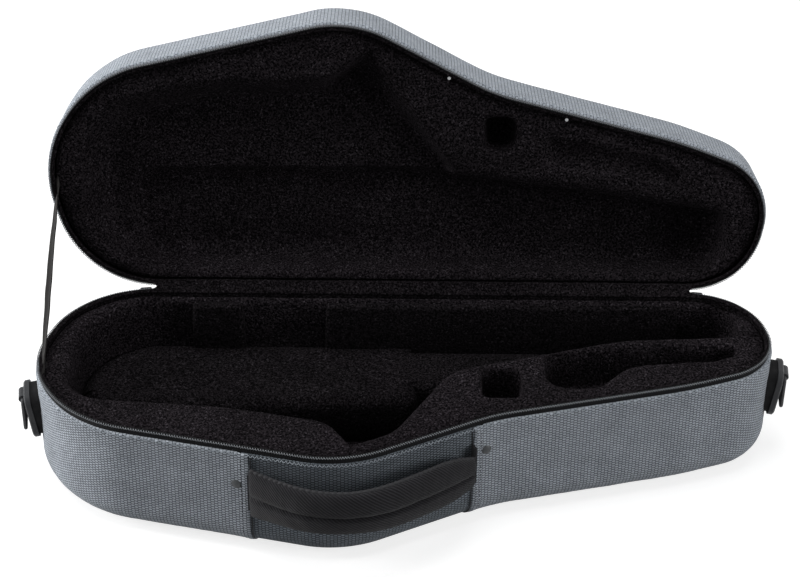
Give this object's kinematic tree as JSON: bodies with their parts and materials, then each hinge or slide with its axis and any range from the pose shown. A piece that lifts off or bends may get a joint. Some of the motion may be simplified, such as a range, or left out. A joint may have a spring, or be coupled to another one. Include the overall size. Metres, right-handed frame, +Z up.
{
  "type": "alto saxophone case",
  "caption": "Shaped alto saxophone case of fabric over moulded shells, with a zip, a padded side handle, fitted plush inserts and a hinged lid held by a webbing stay.",
  "frame": {"origin": "centre of the base's underside, midway along the hinge's length and between the hinge line and the front bulge", "axes": "+X along the hinge, towards the narrow end; -Y towards the handle; +Z up"},
  "size_m": [0.6652, 0.389, 0.3438],
  "materials": {
    "cover_fabric": "woven, matt",
    "ribbed_fabric": "ribbed weave, matt",
    "bottom_fabric": "woven, matt",
    "shell_board": "matt",
    "plush_foam": "short plush over foam",
    "lining_welt": "bound edge",
    "zip_tape": "woven tape",
    "zip_coil": "satin",
    "piping": "woven tape",
    "hinge_webbing": "woven tape",
    "grip_webbing": "twill webbing over padding",
    "webbing": "woven ribbon",
    "gunmetal": "dark plated",
    "tack_metal": "plated",
    "moulded_plate": "satin",
    "pad_rubber": "matt",
    "ring_metal": "dark coated",
    "slider_metal": "dark plated"
  },
  "bodies": {
    "base": {"base_bottom_cover": "bottom_fabric", "base_cover_left_panel": "cover_fabric", "base_cover_right_panel": "cover_fabric", "base_handle_panel": "ribbed_fabric", "base_shell": "shell_board", "base_zip_tape": "zip_tape", "base_zip_coil": "zip_coil", "base_rim_welt": "lining_welt", "base_insert": "plush_foam", "base_neck_block": "plush_foam", "bow_pad": "plush_foam", "body_pad": "plush_foam", "base_back_pad_left": "plush_foam", "base_back_pad_right": "plush_foam", "base_hinge_leaf": "hinge_webbing", "handle_strap_left": "webbing", "handle_strap_right": "webbing", "handle_rivets": "gunmetal", "handle_rivet_washers": "gunmetal", "stay_strap": "webbing", "base_stay_tab": "webbing", "base_stay_tacks": "tack_metal", "strap_plate_left": "moulded_plate", "strap_pad_left": "pad_rubber", "strap_rivets_left": "gunmetal", "strap_washers_left": "gunmetal", "strap_plate_right": "moulded_plate", "strap_pad_right": "pad_rubber", "strap_rivets_right": "gunmetal", "strap_washers_right": "gunmetal", "zip_slider_left": "slider_metal", "zip_slider_right": "slider_metal"},
    "lid": {"lid_cover_side": "cover_fabric", "lid_cover_top": "cover_fabric", "lid_piping": "piping", "lid_shell": "shell_board", "lid_zip_tape": "zip_tape", "lid_zip_coil": "zip_coil", "lid_rim_welt": "lining_welt", "lid_insert": "plush_foam", "lid_neck_block": "plush_foam", "lid_insert_frame": "plush_foam", "lid_lining_tacks": "tack_metal", "lid_hinge_leaf": "hinge_webbing", "lid_stay_tab": "webbing", "lid_stay_tacks": "tack_metal"},
    "handle": {"handle_grip": "grip_webbing"},
    "ring_left": {"strap_ring_left": "ring_metal"},
    "pull_left": {"zip_pull_left": "slider_metal"},
    "ring_right": {"strap_ring_right": "ring_metal"},
    "pull_right": {"zip_pull_right": "slider_metal"}
  },
  "joints": [
    {"name": "lid_hinge", "type": "hinge", "parent": "base", "child": "lid", "pos_m": [0, 0.12075, 0.11], "axis": [1, 0, 0], "range_deg": [0, 103.3], "deforming": ["stay_strap"]},
    {"name": "handle_slack", "type": "slide", "parent": "base", "child": "handle", "axis": [0.2011, -0.9796, 0], "range_m": [0, 0.012], "deforming": ["handle_strap_left", "handle_strap_right"]},
    {"name": "ring_left_swing", "type": "hinge", "parent": "base", "child": "ring_left", "pos_m": [-0.32756, 0.00287, 0.07787], "axis": [-0.1381, 0.9904, 0], "range_deg": [-6, 150]},
    {"name": "ring_right_swing", "type": "hinge", "parent": "base", "child": "ring_right", "pos_m": [0.32901, 0.04421, 0.07787], "axis": [-0.094, -0.9956, 0], "range_deg": [-6, 150]},
    {"name": "pull_left_swing", "type": "hinge", "parent": "base", "child": "pull_left", "pos_m": [-0.23289, 0.12575, 0.1036], "axis": [0.9918, 0.128, 0], "range_deg": [-6, 72]},
    {"name": "pull_right_swing", "type": "hinge", "parent": "base", "child": "pull_right", "pos_m": [0.25909, 0.12586, 0.1036], "axis": [0.9904, -0.1383, 0], "range_deg": [-6, 72]}
  ]
}
